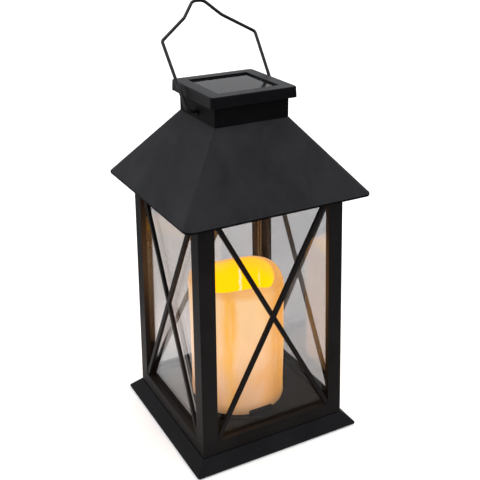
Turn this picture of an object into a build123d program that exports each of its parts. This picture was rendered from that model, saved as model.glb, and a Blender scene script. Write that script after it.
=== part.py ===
"""A square solar lantern: black plastic, clear windows behind X bars, a lit pillar candle, a solar panel
in the cap and a wire bail. Units are millimetres, +Z is up, and the origin is on the ground below the
lantern's centre. The front of the lantern faces -Y. Every physical piece is its own solid or solids."""

import os
from math import atan2, cos, degrees, hypot, pi, radians, sin, sqrt

from build123d import *

os.makedirs("parts", exist_ok=True)

# ---------------------------------------------------------------- driving dimensions
body_foot_width = 122.0  # over the four side frames where they stand on the foot
body_head_width = 114.5  # over their tops: the body leans in a little on every side
plinth_width = 140.0  # over the flared foot
eave_width = 145.0  # over the roof's eaves
neck_width = 57.6
cap_width = 66.8  # at the cap's lower edge; its top is drafted in a little
panel_window = 47.6  # the cap's square window
candle_radius = 37.4

foot_drop = 0.8  # how far the rubber feet hold the skirt off the ground
skirt_lip = 1.0  # upright edge at the foot of the flare
shelf_top = 10.3  # ledge that the frames stand on
floor_top = 15.5  # floor that the candle stands on
opening_low = 21.4  # window openings, bottom and top
opening_high = 197.0
frame_top = 206.0
eave_low = 197.8
eave_lip = 1.4
eave_corner = 6.5  # plan radius of the eaves' corners
hip_radius = 1.2  # plan radius of the same edge where it reaches the neck
roof_top = 250.5  # where the slopes meet the neck
neck_top = 265.0
cap_top = 272.6
pocket_depth = 3.4  # of the solar panel's pocket in the cap
candle_top = 123.6

wall = 2.0  # moulded wall thickness
frame_thickness = 4.0
post_width = 12.0
bar_width = 3.4
pane_thickness = 1.2
fit_gap = 0.1  # clearance between pieces that rest on or beside each other
soft_edge = 0.4  # radius on edges that a hand or the ground meets

bail_radius = 1.2
bail_tilt = 39.0  # degrees that the bail leans back (towards +Y) from upright
pivot_height = 255.8

# ---------------------------------------------------------------- sizes that follow
frame_bottom = shelf_top + fit_gap
face_run = (body_foot_width - body_head_width) / 2  # how far each side leans in
face_rise = frame_top - shelf_top
face_lean = degrees(atan2(face_run, face_rise))
pane_inset = frame_thickness + fit_gap  # from a side's outer face to its pane
lip_inset = pane_inset + pane_thickness + fit_gap  # to the upstands that hold the panes
lip_thickness = 1.6
lip_height = 4.0  # above the floor
roof_slope = (roof_top - eave_low - eave_lip) / ((eave_width - neck_width) / 2)  # rise over run
roof_wall_run = wall * sqrt(1 + roof_slope**2) / roof_slope  # the wall measured level
ceiling_low = frame_top
ceiling_high = frame_top + wall
deck_low = floor_top - wall
cover_low = 1.2
cover_high = cover_low + wall
pocket_floor = cap_top - pocket_depth

# ---------------------------------------------------------------- screws: radius, head radius, head height
case_screw = (1.25, 2.6, 1.0)
small_screw = (0.9, 1.7, 0.9)
pilot_gap = 0.05  # between a screw and its pilot hole
head_gap = 0.3  # round a sunk screw head
shank_gap = 0.15  # round a screw in the piece that it clamps


def half_width(height, inset=0.0):
    """Half the width across the leaning body at a height, measured to an inset from its outer faces."""
    return body_foot_width / 2 - face_run * (height - shelf_top) / face_rise - inset


def square_of(spacing):
    """The four corners of a square, given half its side."""
    return [(-spacing, -spacing), (spacing, -spacing), (spacing, spacing), (-spacing, spacing)]


def save(part, name):
    """Labels a finished piece and writes its STEP file."""
    part.label = name
    export_step(part, f"parts/{name}.step")


def screw(head_base, size, length, upwards=True):
    """A pan-head screw on the Z axis: its head seats at height head_base and its shank runs from there."""
    shank_radius, head_radius, head_height = size
    way = 1 if upwards else -1
    cross_length = head_radius * 0.9
    cross_width = 0.5
    cross_depth = head_height * 0.5
    with BuildPart() as made:
        with BuildSketch(Plane.XY.offset(head_base)):
            Circle(head_radius)
        extrude(amount=-way * head_height)
        head_edges = made.edges().group_by(Axis.Z)[0 if upwards else -1]
        fillet(head_edges, head_height * 0.4)
        with BuildSketch(Plane.XY.offset(head_base - way * head_height)):
            Rectangle(cross_length, cross_width)
            Rectangle(cross_width, cross_length)
        extrude(amount=way * cross_depth, mode=Mode.SUBTRACT)
        with BuildSketch(Plane.XY.offset(head_base)):
            Circle(shank_radius)
        extrude(amount=way * length)
        tip_edges = made.edges().group_by(Axis.Z)[-1 if upwards else 0]
        chamfer(tip_edges, shank_radius * 0.4)
    return made.part


def screw_set(head_base, size, length, places, upwards=True):
    """The same screw at each (x, y) place."""
    one = screw(head_base, size, length, upwards)
    return Compound(children=[Pos(x, y, 0) * one for x, y in places])


def wire(points, radii, radius):
    """A round insulated wire along straight runs joined by tangent arcs."""
    with BuildPart() as made:
        with BuildLine() as route:
            FilletPolyline(*points, radius=radii)
        start = route.line @ 0
        along = route.line % 0
        with BuildSketch(Plane(origin=start, z_dir=along)):
            Circle(radius)
        sweep(path=route.line)
    return made.part


# ================================================================ base
base_boss = 42.0  # half spacing of the base cover's screws
boss_radius = 3.6
base_pilot_depth = 8.0
rail_screw = 30.0  # half spacing of the screws in each frame's rails
clip_width = 20.0
clip_height = 5.2
clip_thickness = 2.0
clip_gap = 0.3
seat_radius = 42.5
seat_width, seat_height = 1.6, 1.2
lead_corner = 48.3  # the solar leads come down beside this corner of the body
lead_hole = 2.4
led_lead_y = 20.0
led_lead_hole = 2.6
candle_lug_radius = 29.0
lug_angles = [radians(a) for a in (90, 210, 330)]
candle_lugs = [(candle_lug_radius * cos(a), candle_lug_radius * sin(a)) for a in lug_angles]


def rail_screw_places(height):
    """Two screws in each of the four rails, in the middle of the frames' thickness at that height."""
    middle = half_width(height, frame_thickness / 2)
    places = [(s * rail_screw, t * middle) for s in (-1, 1) for t in (-1, 1)]
    return places + [(y, x) for x, y in places]


lower_screw_places = rail_screw_places(frame_bottom)
upper_screw_places = rail_screw_places(frame_top)

tray_length, tray_width = 60.0, 18.2  # outside the battery tray
tray_wall = 1.5
tray_top = 21.2
tray_gap = 0.7  # round the tray where it comes up through the floor

skirt_corner, shelf_corner = 2.0, 1.2
shelf_width = body_foot_width + 1.2
skirt_run = (plinth_width - shelf_width) / 2
skirt_rise = shelf_top - foot_drop - skirt_lip
cavity_wall = 2.4
cavity_top = shelf_top - wall
cavity_top_width = shelf_width + 2 * skirt_run * (shelf_top - cavity_top) / skirt_rise - 2 * cavity_wall
lip_top = floor_top + lip_height
lip_width = 2 * half_width(lip_top, lip_inset)
well_width = lip_width - 2 * lip_thickness

with BuildPart() as plinth:
    with BuildSketch(Plane.XY.offset(foot_drop)):
        RectangleRounded(plinth_width, plinth_width, skirt_corner)
    extrude(amount=skirt_lip)
    with BuildSketch(Plane.XY.offset(foot_drop + skirt_lip)):
        RectangleRounded(plinth_width, plinth_width, skirt_corner)
    with BuildSketch(Plane.XY.offset(shelf_top)):
        RectangleRounded(shelf_width, shelf_width, shelf_corner)
    loft()
    with BuildSketch(Plane.XY.offset(shelf_top)):
        Rectangle(lip_width, lip_width)
    extrude(amount=lip_top - shelf_top)
    # the hollow underside, then the well above the floor
    with BuildSketch(Plane.XY.offset(foot_drop)):
        Rectangle(plinth_width - 2 * cavity_wall, plinth_width - 2 * cavity_wall)
    with BuildSketch(Plane.XY.offset(cavity_top)):
        Rectangle(cavity_top_width, cavity_top_width)
    loft(mode=Mode.SUBTRACT)
    with BuildSketch(Plane.XY.offset(cavity_top)):
        Rectangle(well_width, well_width)
    extrude(amount=deck_low - cavity_top, mode=Mode.SUBTRACT)
    with BuildSketch(Plane.XY.offset(floor_top)):
        Rectangle(well_width, well_width)
    extrude(amount=lip_height, mode=Mode.SUBTRACT)
    # candle seat: a raised ring, and four clips round the candle's foot
    with BuildSketch(Plane.XY.offset(floor_top)):
        Circle(seat_radius)
        Circle(seat_radius - seat_width, mode=Mode.SUBTRACT)
    extrude(amount=seat_height)
    with BuildSketch(Plane.XY.offset(floor_top)):
        with PolarLocations(candle_radius + clip_gap + clip_thickness / 2, 4):
            Rectangle(clip_thickness, clip_width)
    extrude(amount=clip_height)
    # bosses for the base cover's screws
    with BuildSketch(Plane.XY.offset(cover_high)):
        with GridLocations(2 * base_boss, 2 * base_boss, 2, 2):
            Circle(boss_radius)
    extrude(amount=deck_low - cover_high)
    with BuildSketch(Plane.XY.offset(cover_high)):
        with GridLocations(2 * base_boss, 2 * base_boss, 2, 2):
            Circle(case_screw[0] + pilot_gap)
    extrude(amount=base_pilot_depth, mode=Mode.SUBTRACT)
    # openings in the floor: battery tray, candle leads, solar leads and candle screws
    with BuildSketch(Plane.XY.offset(deck_low)):
        Rectangle(tray_length + 2 * tray_gap, tray_width + 2 * tray_gap)
        with Locations((0, led_lead_y)):
            Circle(led_lead_hole)
        with Locations((lead_corner, lead_corner)):
            Circle(lead_hole)
        with Locations(*candle_lugs):
            Circle(small_screw[0] + pilot_gap)
    extrude(amount=wall, mode=Mode.SUBTRACT)
    # holes in the shelf for the frames' screws
    with BuildSketch(Plane.XY.offset(cavity_top)):
        with Locations(*lower_screw_places):
            Circle(small_screw[0] + pilot_gap)
    extrude(amount=wall, mode=Mode.SUBTRACT)
    fillet(plinth.edges().group_by(Axis.Z)[0].filter_by(lambda e: e.length > plinth_width * 0.9), soft_edge)
save(plinth.part, "plinth")

# ---------------------------------------------------------------- base cover with its battery tray
cover_width, cover_corner = 129.0, 4.0
foot_radius = 6.0
foot_place = 54.0
foot_recess, foot_recess_gap = 0.8, 0.2
door_length, door_width, door_thickness = 62.0, 20.0, 1.2
door_gap = 0.2
door_headroom = 0.1
hinge_x = -(door_length / 2 - door_thickness / 2)
hinge_z = cover_low + door_thickness / 2
nub_radius, nub_length = 0.5, 1.0
nub_gap = 0.1
switch_y = 28.0
switch_travel = 3.6
thumb_length, thumb_width, thumb_corner, thumb_depth = 16.0, 8.0, 1.5, 0.5
knob_length, knob_width = 2.8, 2.2
slot_clear = 0.3
knob_slot = (knob_length + switch_travel + 2 * slot_clear, knob_width + 2 * slot_clear)
board_posts = [(-17.0, 36.0), (17.0, 36.0)]
post_radius, post_pilot_depth = 2.4, 3.6
board_low = 7.4
board_thickness = 1.2
board_high = board_low + board_thickness
cavity_length, cavity_width = tray_length - 2 * tray_wall, tray_width - 2 * tray_wall
tab_low, tab_high = 9.4, 13.0  # the contacts' solder tabs pass through the tray's side here
tab_slot_width, tab_slot_gap = 0.8, 0.1
tab_slot_x = (cavity_length - tab_slot_width) / 2
tab_slot_z = (tab_low + tab_high) / 2

with BuildPart() as base_cover:
    with BuildSketch(Plane.XY.offset(cover_low)):
        RectangleRounded(cover_width, cover_width, cover_corner)
    extrude(amount=wall)
    with BuildSketch(Plane.XY.offset(cover_high)):
        Rectangle(tray_length, tray_width)
    extrude(amount=tray_top - cover_high)
    with BuildSketch(Plane.XY.offset(cover_high)):
        with Locations(*board_posts):
            Circle(post_radius)
    extrude(amount=board_low - cover_high)
    with BuildSketch(Plane.XY.offset(cover_low)):
        Rectangle(cavity_length, cavity_width)
    extrude(amount=tray_top - tray_wall - cover_low, mode=Mode.SUBTRACT)
    # slots for the solder tabs in the tray's +Y side
    with BuildSketch(Plane.XZ.offset(-tray_width / 2)):
        with Locations((tab_slot_x, tab_slot_z), (-tab_slot_x, tab_slot_z)):
            Rectangle(tab_slot_width, tab_high - tab_low + 2 * tab_slot_gap)
    extrude(amount=tray_wall, mode=Mode.SUBTRACT)
    # the door's recess, with a hole each side for its hinge nubs
    with BuildSketch(Plane.XY.offset(cover_low)):
        Rectangle(door_length + 2 * door_gap, door_width + 2 * door_gap)
    extrude(amount=door_thickness + door_headroom, mode=Mode.SUBTRACT)
    with BuildSketch(Plane.XZ.offset(-(door_width / 2 + door_gap + nub_length))):
        with Locations((hinge_x, hinge_z)):
            Circle(nub_radius + pilot_gap)
    extrude(amount=door_width + 2 * door_gap + 2 * nub_length, mode=Mode.SUBTRACT)
    # switch slot in a shallow thumb recess
    with BuildSketch(Plane.XY.offset(cover_low)):
        with Locations((0, switch_y)):
            RectangleRounded(thumb_length, thumb_width, thumb_corner)
    extrude(amount=thumb_depth, mode=Mode.SUBTRACT)
    with BuildSketch(Plane.XY.offset(cover_low)):
        with Locations((0, switch_y)):
            Rectangle(*knob_slot)
    extrude(amount=wall, mode=Mode.SUBTRACT)
    # recesses for the rubber feet, and sunk seats and holes for the screws
    with BuildSketch(Plane.XY.offset(cover_low)):
        with GridLocations(2 * foot_place, 2 * foot_place, 2, 2):
            Circle(foot_radius + foot_recess_gap)
    extrude(amount=foot_recess, mode=Mode.SUBTRACT)
    with BuildSketch(Plane.XY.offset(cover_low)):
        with GridLocations(2 * base_boss, 2 * base_boss, 2, 2):
            Circle(case_screw[1] + head_gap)
    extrude(amount=case_screw[2] + fit_gap, mode=Mode.SUBTRACT)
    with BuildSketch(Plane.XY.offset(cover_low)):
        with GridLocations(2 * base_boss, 2 * base_boss, 2, 2):
            Circle(case_screw[0] + shank_gap)
    extrude(amount=wall, mode=Mode.SUBTRACT)
    with BuildSketch(Plane.XY.offset(board_low)):
        with Locations(*board_posts):
            Circle(small_screw[0] + pilot_gap)
    extrude(amount=-post_pilot_depth, mode=Mode.SUBTRACT)
save(base_cover.part, "base_cover")

# ---------------------------------------------------------------- battery door, on two nubs at its -X end
snap_length, snap_width, snap_height = 1.2, 8.0, 1.6
rib_step, rib_width, rib_length, rib_depth = 1.6, 0.7, 9.0, 0.35
first_rib = door_length / 2 - 5.0
snap_place = cavity_length / 2 - 1.0

with BuildPart() as battery_door:
    with BuildSketch(Plane.XZ.offset(-door_width / 2)):
        with Locations((0, hinge_z)):
            SlotOverall(door_length, door_thickness)
        with Locations((door_length / 4, hinge_z)):
            Rectangle(door_length / 2, door_thickness)
    extrude(amount=door_width)
    with BuildSketch(Plane.XZ.offset(-(door_width / 2 + nub_length - nub_gap))):
        with Locations((hinge_x, hinge_z)):
            Circle(nub_radius)
    extrude(amount=door_width + 2 * (nub_length - nub_gap))
    # the snap tab inside, and grip ribs outside, both at the free end
    with BuildSketch(Plane.XY.offset(cover_low + door_thickness)):
        with Locations((snap_place, 0)):
            Rectangle(snap_length, snap_width)
    extrude(amount=snap_height)
    with BuildSketch(Plane.XY.offset(cover_low)):
        with Locations(*[(first_rib - rib_step * i, 0) for i in range(4)]):
            Rectangle(rib_width, rib_length)
    extrude(amount=rib_depth, mode=Mode.SUBTRACT)
save(battery_door.part, "battery_door")

# ---------------------------------------------------------------- rubber feet
with BuildPart() as rubber_feet:
    with BuildSketch(Plane.XY):
        with GridLocations(2 * foot_place, 2 * foot_place, 2, 2):
            Circle(foot_radius)
    extrude(amount=cover_low + foot_recess)
    fillet(rubber_feet.edges().group_by(Axis.Z)[0], soft_edge)
save(rubber_feet.part, "rubber_feet")

save(screw_set(cover_low + case_screw[2] + fit_gap, case_screw, 7.0, square_of(base_boss)), "base_screws")
save(screw_set(cavity_top, small_screw, 9.0, lower_screw_places), "lower_frame_screws")

# ================================================================ battery, contacts and electronics
cell_radius, cell_length = 7.0, 49.2
cell_z = 11.2
cap_radius, cap_length = 2.6, 1.3  # the cell's positive cap
contact_thickness = 0.4
contact_size = 9.0
end_wall = cavity_length / 2
tab_end = tray_width / 2 + 1.6
cell_front = end_wall - contact_thickness - 0.15  # where the cell's cap meets the positive contact

with BuildPart() as battery_cell:
    with BuildSketch(Plane.YZ.offset(cell_front - cell_length)):
        with Locations((0, cell_z)):
            Circle(cell_radius)
    extrude(amount=cell_length - cap_length)
    fillet(battery_cell.edges(), soft_edge)
    with BuildSketch(Plane.YZ.offset(cell_front - cap_length)):
        with Locations((0, cell_z)):
            Circle(cap_radius)
    extrude(amount=cap_length)
save(battery_cell.part, "battery_cell")


def contact(low_x):
    """A flat spring-brass contact beside one end wall, with a solder tab out through the tray's +Y side."""
    with BuildPart() as made:
        with BuildSketch(Plane.YZ.offset(low_x)):
            with Locations((0, cell_z)):
                Rectangle(contact_size, contact_size)
            with Locations((tab_end / 2, (tab_low + tab_high) / 2)):
                Rectangle(tab_end, tab_high - tab_low)
        extrude(amount=contact_thickness)
    return made.part


save(contact(end_wall - contact_thickness - fit_gap / 2), "positive_contact")

spring_wire = 0.4
spring_radius = 4.2
spring_turns = 3
spring_base_x = -end_wall + contact_thickness + fit_gap / 2
spring_length = (cell_front - cell_length) - spring_base_x
with BuildPart() as battery_spring:
    with BuildLine() as coil:
        Helix(
            pitch=(spring_length - 2 * spring_wire) / spring_turns,
            height=spring_length - 2 * spring_wire,
            radius=spring_radius,
            center=(spring_base_x + spring_wire, 0, cell_z),
            direction=(1, 0, 0),
            cone_angle=-12,
        )
    with BuildSketch(Plane(origin=coil.line @ 0, z_dir=coil.line % 0)):
        Circle(spring_wire)
    sweep(path=coil.line, is_frenet=True)
save(battery_spring.part, "battery_spring")
save(contact(-end_wall + fit_gap / 2), "negative_contact")

# ---------------------------------------------------------------- circuit board, components and switch
board_length, board_width = 44.0, 26.0
chip_place, chip_size, chip_height = (-9.0, 25.0), (5.0, 4.0), 1.5
capacitor_place, capacitor_radius = (8.0, 24.0), 3.0
coil_place, coil_radius = (9.5, 34.0), 2.2
tall_height = 3.2  # of the capacitor and the coil

with BuildPart() as circuit_board:
    with BuildSketch(Plane.XY.offset(board_low)):
        with Locations((0, switch_y)):
            Rectangle(board_length, board_width)
        with Locations(*board_posts):
            Circle(small_screw[0] + shank_gap, mode=Mode.SUBTRACT)
    extrude(amount=board_thickness)
save(circuit_board.part, "circuit_board")

with BuildPart() as board_components:
    with BuildSketch(Plane.XY.offset(board_high)):
        with Locations(chip_place):
            Rectangle(*chip_size)
    extrude(amount=chip_height)
    with BuildSketch(Plane.XY.offset(board_high)):
        with Locations(capacitor_place):
            Circle(capacitor_radius)
        with Locations(coil_place):
            Circle(coil_radius)
    extrude(amount=tall_height)
save(board_components.part, "board_components")
save(screw_set(board_high, small_screw, 4.4, board_posts, upwards=False), "board_screws")

switch_low = 4.6
switch_length, switch_width = 9.6, 4.8
switch_slot_depth = 1.7
with BuildPart() as switch_body:
    with BuildSketch(Plane.XY.offset(switch_low)):
        with Locations((0, switch_y)):
            Rectangle(switch_length, switch_width)
    extrude(amount=board_low - switch_low)
    with BuildSketch(Plane.XY.offset(switch_low)):
        with Locations((0, switch_y)):
            Rectangle(*knob_slot)
    extrude(amount=switch_slot_depth, mode=Mode.SUBTRACT)
save(switch_body.part, "switch_body")

knob_low = cover_low + 0.2
knob_high = switch_low + 1.4
groove_step, groove_size = 0.8, 0.3
with BuildPart() as switch_knob:
    with BuildSketch(Plane.XY.offset(knob_low)):
        with Locations((switch_travel / 2, switch_y)):
            Rectangle(knob_length, knob_width)
    extrude(amount=knob_high - knob_low)
    with BuildSketch(Plane.XY.offset(knob_low)):
        with Locations(*[(switch_travel / 2 + i * groove_step, switch_y) for i in (-1, 0, 1)]):
            Rectangle(groove_size, knob_width)
    extrude(amount=groove_size, mode=Mode.SUBTRACT)
save(switch_knob.part, "switch_knob")

# ================================================================ candle
candle_wall = 2.0
well_radius = 30.4  # inside of the melted well, at the rim
well_floor = 88.5
floor_radius = 25.4  # flat part of the well's floor
led_hole = 2.75
rim_start = candle_top - 6.0
rim_middle = 34.0  # radius of the rim's highest line
lining_foot, lining_head = 31.4, 32.4  # radii of the well's outer side, inside the wall
candle_bottom = floor_top + fit_gap

with BuildPart() as candle_shell:
    with BuildSketch(Plane.XZ):
        with BuildLine():
            # outside up, over the rim, down the well, back under its floor and down the inside
            Line((candle_radius, candle_bottom), (candle_radius, rim_start))
            ThreePointArc(
                (candle_radius, rim_start),
                (candle_radius - 1.7, candle_top - 1.6),
                (rim_middle, candle_top),
            )
            ThreePointArc(
                (rim_middle, candle_top),
                (31.6, candle_top - 0.9),
                (well_radius, candle_top - 3.4),
            )
            Line((well_radius, candle_top - 3.4), (well_radius - 1.0, well_floor + 4.0))
            ThreePointArc(
                (well_radius - 1.0, well_floor + 4.0),
                (28.0, well_floor + 1.1),
                (floor_radius, well_floor),
            )
            Polyline(
                (floor_radius, well_floor),
                (led_hole, well_floor),
                (led_hole, well_floor - candle_wall),
                (floor_radius, well_floor - candle_wall),
                (lining_foot, well_floor + 4.0),
                (lining_head, rim_start + 1.0),
                (candle_radius - candle_wall, rim_start - 0.6),
                (candle_radius - candle_wall, candle_bottom),
                (candle_radius, candle_bottom),
            )
        make_face()
    revolve(axis=Axis.Z)
save(candle_shell.part, "candle_shell")

candle_foot_radius = candle_radius - candle_wall - 0.15
foot_ring_width, foot_ring_height = 2.0, 8.0
web_length, web_width = 4.0, 6.0  # between each screw lug and the ring
web_place = candle_foot_radius - foot_ring_width - web_length / 2 + fit_gap
lug_radius, lug_height = 3.4, 6.0
lug_pilot_depth = 5.0
with BuildPart() as candle_foot:
    with BuildSketch(Plane.XY.offset(floor_top)):
        Circle(candle_foot_radius)
        Circle(candle_foot_radius - foot_ring_width, mode=Mode.SUBTRACT)
    extrude(amount=foot_ring_height)
    # three screw lugs, each joined to the ring by a web
    with BuildSketch(Plane.XY.offset(floor_top)):
        with Locations(*candle_lugs):
            Circle(lug_radius)
        with PolarLocations(web_place, 3, start_angle=90):
            Rectangle(web_length, web_width)
    extrude(amount=lug_height)
    with BuildSketch(Plane.XY.offset(floor_top)):
        with Locations(*candle_lugs):
            Circle(small_screw[0] + pilot_gap)
    extrude(amount=lug_pilot_depth, mode=Mode.SUBTRACT)
save(candle_foot.part, "candle_foot")
save(screw_set(deck_low, small_screw, 6.6, candle_lugs), "candle_screws")

led_radius = 2.5
led_flange, led_flange_height = 0.4, 0.9
led_flange_top = well_floor - candle_wall
led_base = led_flange_top - 1.0
led_shoulder = led_base + 6.1  # where the dome starts
led_leg_end = 80.0
led_leg_x, led_leg_width = 1.27, 0.5
holder_radius, holder_height = 6.0, 3.0
with BuildPart() as led_lamp:
    with BuildSketch(Plane.XY.offset(led_base)):
        Circle(led_radius + led_flange)
    extrude(amount=led_flange_height)
    with BuildSketch(Plane.XY.offset(led_base)):
        Circle(led_radius)
    extrude(amount=led_shoulder - led_base)
    with BuildSketch(Plane.XZ):
        with BuildLine():
            Line((0, led_shoulder), (led_radius, led_shoulder))
            ThreePointArc(
                (led_radius, led_shoulder),
                (led_radius * cos(pi / 4), led_shoulder + led_radius * sin(pi / 4)),
                (0, led_shoulder + led_radius),
            )
            Line((0, led_shoulder + led_radius), (0, led_shoulder))
        make_face()
    revolve(axis=Axis.Z)
    with BuildSketch(Plane.XY.offset(led_leg_end)):
        with Locations((-led_leg_x, 0), (led_leg_x, 0)):
            Rectangle(led_leg_width, led_leg_width)
    extrude(amount=led_base - led_leg_end)
save(led_lamp.part, "led_lamp")

with BuildPart() as led_holder:
    with BuildSketch(Plane.XY.offset(led_base - holder_height)):
        Circle(holder_radius)
    extrude(amount=holder_height + led_flange_top - led_base)
    with BuildSketch(Plane.XY.offset(led_base)):
        Circle(led_radius + led_flange + fit_gap)
    extrude(amount=led_flange_top - led_base, mode=Mode.SUBTRACT)
    with BuildSketch(Plane.XY.offset(led_base - holder_height)):
        with Locations((-led_leg_x, 0), (led_leg_x, 0)):
            Circle(led_leg_width + fit_gap)
    extrude(amount=holder_height, mode=Mode.SUBTRACT)
save(led_holder.part, "led_holder")

# ================================================================ wiring
lead_radius = 0.6
led_lead_points = [
    (led_leg_x, led_lead_y, board_high),
    (led_leg_x, led_lead_y, 56),
    (led_leg_x, 0, 72),
    (led_leg_x, 0, led_leg_end),
]
tab_x = end_wall - contact_thickness / 2
battery_lead_points = [
    (tab_x, tab_end, cell_z),
    (tab_x, 15.0, cell_z),
    (19.0, 18.0, cell_z),
    (19.0, 18.0, board_high),
]


def lead_pair(points, radii):
    """Two leads that mirror each other across the YZ plane."""
    pair = [wire([(side * x, y, z) for x, y, z in points], radii, lead_radius) for side in (-1, 1)]
    return Compound(children=pair)


save(lead_pair(led_lead_points, [5.0, 5.0]), "led_leads")
save(lead_pair(battery_lead_points, [2.0, 1.2]), "battery_leads")

# the pair from the panel: down through the neck, across under the roof, and down the rear right corner
lead_step = 0.75
lead_run = 11.2  # height of the pair's run beneath the floor
solar_lead_points = [
    (0, 0, pocket_floor),
    (0, 0, 254),
    (8, 34, 228),
    (28, 48.5, 213),
    (lead_corner, lead_corner, 211.5),
    (lead_corner, lead_corner, lead_run),
    (32, lead_corner, lead_run),
    (20, 31, lead_run),
    (20, 31, board_high),
]
solar_radii = [8.0, 9.0, 7.0, 1.9, 2.0, 3.0, 1.2]


def solar_lead(side):
    """One of the two panel leads, set to one side of the pair's line."""
    points = [(x + side * lead_step, y - side * lead_step, z) for x, y, z in solar_lead_points]
    return wire(points, solar_radii, lead_radius)


save(solar_lead(-1), "solar_lead_negative")
save(solar_lead(1), "solar_lead_positive")

# ================================================================ side frames and windows
bar_recess_outside, bar_recess_inside = 0.5, 1.0
cut_margin = 1.0  # how far a cut starts before the face it goes into
reveal = 0.6  # a shadow line where the frames stand on the foot
edge_radius = 1.0  # plan radius of the body's four upright edges
foot_pilot_depth = 8.0
head_pilot_depth = 5.0
opening_foot, opening_head = half_width(opening_low, post_width), half_width(opening_high, post_width)
slant = cos(radians(face_lean))
opening_foot_v = (opening_low - shelf_top) / slant  # heights measured up the leaning face
opening_head_v = (opening_high - shelf_top) / slant
bar_run, bar_rise = opening_foot + opening_head, opening_head_v - opening_foot_v
bar_middle = ((opening_head - opening_foot) / 2, (opening_foot_v + opening_head_v) / 2)


def face_plane(inset):
    """The front's leaning plane, an inset behind its outer face, with its origin at the shelf's height."""
    lean = radians(face_lean)
    outer = Plane(
        origin=(0, -body_foot_width / 2, shelf_top), x_dir=(1, 0, 0), z_dir=(0, -cos(lean), sin(lean))
    )
    return outer.offset(-inset)


# the window opening, a little narrower at its head
with BuildSketch() as window_outline:
    with BuildLine():
        Polyline(
            (-opening_foot, opening_foot_v),
            (opening_foot, opening_foot_v),
            (opening_head, opening_head_v),
            (-opening_head, opening_head_v),
            close=True,
        )
    make_face()


def side_frame():
    """The frame that faces -Y: posts, rails and crossed bars in one moulding, mitred at its corners."""
    foot_half, head_half = half_width(frame_bottom + reveal), half_width(frame_top)
    inner_foot = half_width(frame_bottom, frame_thickness)
    inner_head = half_width(frame_top, frame_thickness)
    far = body_foot_width
    with BuildPart() as made:
        with BuildSketch(Plane.XY.offset(frame_bottom)):
            RectangleRounded(2 * (foot_half - reveal), 2 * (foot_half - reveal), edge_radius)
        extrude(amount=reveal)
        with BuildSketch(Plane.XY.offset(frame_bottom + reveal)):
            RectangleRounded(2 * foot_half, 2 * foot_half, edge_radius)
        with BuildSketch(Plane.XY.offset(frame_top)):
            RectangleRounded(2 * head_half, 2 * head_half, edge_radius)
        loft()
        with BuildSketch(Plane.XY.offset(frame_bottom)):
            Rectangle(2 * inner_foot, 2 * inner_foot)
        with BuildSketch(Plane.XY.offset(frame_top)):
            Rectangle(2 * inner_head, 2 * inner_head)
        loft(mode=Mode.SUBTRACT)
        with BuildSketch(Plane.XY.offset(frame_bottom)):
            with BuildLine():
                Polyline((0, 0), (-far, -far), (far, -far), close=True)
            make_face()
        extrude(amount=frame_top - frame_bottom, mode=Mode.INTERSECT)
        # the opening between the bars, cut from just outside the frame to just inside it
        with BuildSketch(face_plane(-cut_margin)):
            add(window_outline.sketch)
            for side in (-1, 1):
                with Locations((side * bar_middle[0], bar_middle[1])):
                    Rectangle(
                        hypot(bar_run, bar_rise),
                        bar_width,
                        rotation=side * degrees(atan2(bar_rise, bar_run)),
                        mode=Mode.SUBTRACT,
                    )
        extrude(amount=-(frame_thickness + 2 * cut_margin), mode=Mode.SUBTRACT)
        # the bars are thinner than the posts, outside and inside
        with BuildSketch(face_plane(-cut_margin)):
            add(window_outline.sketch)
        extrude(amount=-(cut_margin + bar_recess_outside), mode=Mode.SUBTRACT)
        with BuildSketch(face_plane(frame_thickness - bar_recess_inside)):
            add(window_outline.sketch)
        extrude(amount=-(cut_margin + bar_recess_inside), mode=Mode.SUBTRACT)
        # screw pilots in the bottom and top rails
        for height, depth in ((frame_bottom, foot_pilot_depth), (frame_top, -head_pilot_depth)):
            middle = half_width(height, frame_thickness / 2)
            with BuildSketch(Plane.XY.offset(height)):
                with Locations((-rail_screw, -middle), (rail_screw, -middle)):
                    Circle(small_screw[0] + pilot_gap)
            extrude(amount=depth, mode=Mode.SUBTRACT)
    return made.part


pane_low, pane_high = shelf_top + 0.2, frame_top - 0.5


def pane(edge_inset):
    """A clear window leaning against the inside of the front frame; edge_inset is from the body's sides."""
    with BuildPart() as made:
        for height in (pane_low, pane_high):
            with BuildSketch(Plane.XY.offset(height)):
                with Locations((0, -half_width(height, pane_inset + pane_thickness / 2))):
                    Rectangle(2 * half_width(height, edge_inset), pane_thickness)
        loft()
    return made.part


front_sides = {"frame": side_frame(), "wide": pane(pane_inset), "narrow": pane(lip_inset)}
for quarter, name in enumerate(("front", "right", "rear", "left")):
    turn = Rot(0, 0, 90 * quarter)
    save(turn * front_sides["frame"], f"{name}_frame")
    save(turn * front_sides["narrow" if quarter % 2 else "wide"], f"{name}_pane")

# ================================================================ ceiling plate under the roof
roof_boss = 36.0
ceiling_lip_height = 3.4
ceiling_lip_width = 2 * half_width(ceiling_low, lip_inset)
ceiling_lip_inner = ceiling_lip_width - 2 * lip_thickness
with BuildPart() as ceiling_plate:
    with BuildSketch(Plane.XY.offset(ceiling_low)):
        Rectangle(body_head_width, body_head_width)
    extrude(amount=wall)
    with BuildSketch(Plane.XY.offset(ceiling_low)):
        Rectangle(ceiling_lip_width, ceiling_lip_width)
        Rectangle(ceiling_lip_inner, ceiling_lip_inner, mode=Mode.SUBTRACT)
    extrude(amount=-ceiling_lip_height)
    with BuildSketch(Plane.XY.offset(ceiling_low)):
        with Locations((lead_corner, lead_corner)):
            Circle(lead_hole)
        with GridLocations(2 * roof_boss, 2 * roof_boss, 2, 2):
            Circle(case_screw[0] + shank_gap)
        with Locations(*upper_screw_places):
            Circle(small_screw[0] + pilot_gap)
    extrude(amount=wall, mode=Mode.SUBTRACT)
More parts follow.
